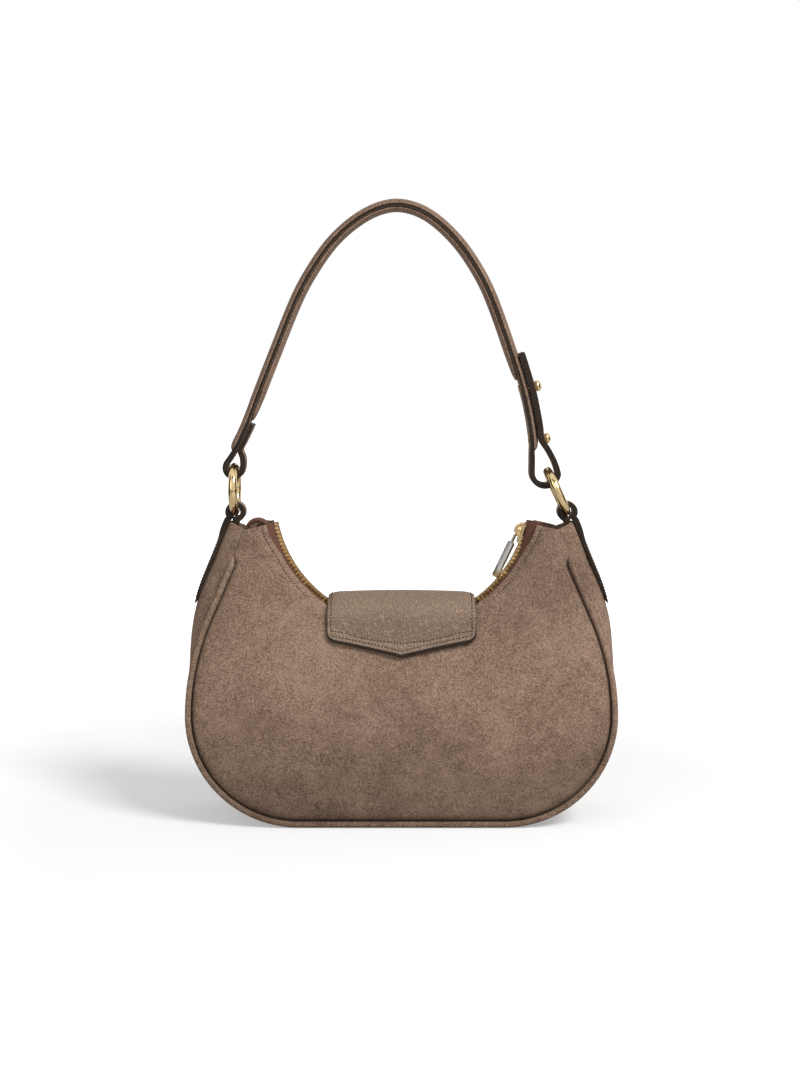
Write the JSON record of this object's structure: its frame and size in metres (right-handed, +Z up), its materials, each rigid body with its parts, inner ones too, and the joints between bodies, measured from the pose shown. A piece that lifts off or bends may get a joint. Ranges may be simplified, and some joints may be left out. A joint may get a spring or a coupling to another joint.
{
  "type": "shoulder bag",
  "caption": "Small crescent suede shoulder bag with a zipped mouth, a leather flap over it, gold rings and a standing shoulder strap.",
  "frame": {"origin": "on the floor under the middle of the bag's base", "axes": "+Z up, the bag's back faces -Y and its front +Y, the zip's slider rests at the +X end"},
  "size_m": [0.26, 0.0678, 0.3762],
  "materials": {
    "suede": "brushed suede, matte",
    "leather": "pebbled, soft sheen",
    "lining": "matte twill",
    "padding": "felt",
    "board": "matte",
    "tape": "woven, matte",
    "gold": "polished",
    "pale_gold": "polished"
  },
  "bodies": {
    "bag": {"rear_panel": "suede", "front_panel": "suede", "gusset": "suede", "rear_piping": "suede", "front_piping": "suede", "rear_lining": "lining", "front_lining": "lining", "gusset_lining": "lining", "base_board": "board", "rear_zip_tape": "tape", "front_zip_tape": "tape", "rear_zip_teeth": "gold", "front_zip_teeth": "gold", "bottom_stop": "gold", "rear_top_stop": "gold", "front_top_stop": "gold", "flap_rear_tab": "leather", "snap_socket": "gold", "left_side_tab": "leather", "right_side_tab": "leather"},
    "flap": {"flap_cover": "leather", "flap_lining": "leather", "snap_stud": "gold"},
    "slider": {"slider_body": "gold", "slider_bail": "gold"},
    "pull": {"pull_tab": "pale_gold"},
    "strap": {"strap_base": "leather", "strap_overlay": "suede", "strap_underlay": "suede", "strap_padding": "padding", "upper_stud": "gold", "upper_stud_screw": "gold", "lower_stud": "gold", "lower_stud_screw": "gold"},
    "left_ring_body": {"left_ring": "gold"},
    "right_ring_body": {"right_ring": "gold"}
  },
  "joints": [
    {"name": "flap_lift", "type": "hinge", "parent": "bag", "child": "flap", "pos_m": [0, -0.0189, 0.124], "axis": [1, 0, 0], "range_deg": [0, 150]},
    {"name": "zip_slide", "type": "hinge", "parent": "bag", "child": "slider", "pos_m": [0, 0, 0.1975], "axis": [0, 1, 0], "range_deg": [0, 139.5], "deforming": ["rear_zip_tape", "front_zip_tape", "rear_zip_teeth", "front_zip_teeth"]},
    {"name": "pull_swing", "type": "hinge", "parent": "slider", "child": "pull", "pos_m": [0.06994, 0, 0.17591], "axis": [0, 1, 0], "range_deg": [0, 150]},
    {"name": "strap_swing", "type": "hinge", "parent": "bag", "child": "strap", "pos_m": [-0.10126, 0, 0.20253], "axis": [1, 0, -0.0064], "range_deg": [-50, 50]},
    {"name": "left_ring_turn", "type": "hinge", "parent": "bag", "child": "left_ring_body", "pos_m": [-0.10126, 0, 0.20253], "axis": [1, 0, 0], "range_deg": [-22.5, 22.5]},
    {"name": "right_ring_turn", "type": "hinge", "parent": "bag", "child": "right_ring_body", "pos_m": [0.09438, 0, 0.19627], "axis": [1, 0, 0], "range_deg": [-22.5, 22.5]}
  ],
  "couplings": [
    {"joint": "zip_slide", "follows": "flap_lift", "ratio": 0.93},
    {"joint": "left_ring_turn", "follows": "strap_swing", "ratio": 0.45},
    {"joint": "right_ring_turn", "follows": "strap_swing", "ratio": 0.45}
  ]
}
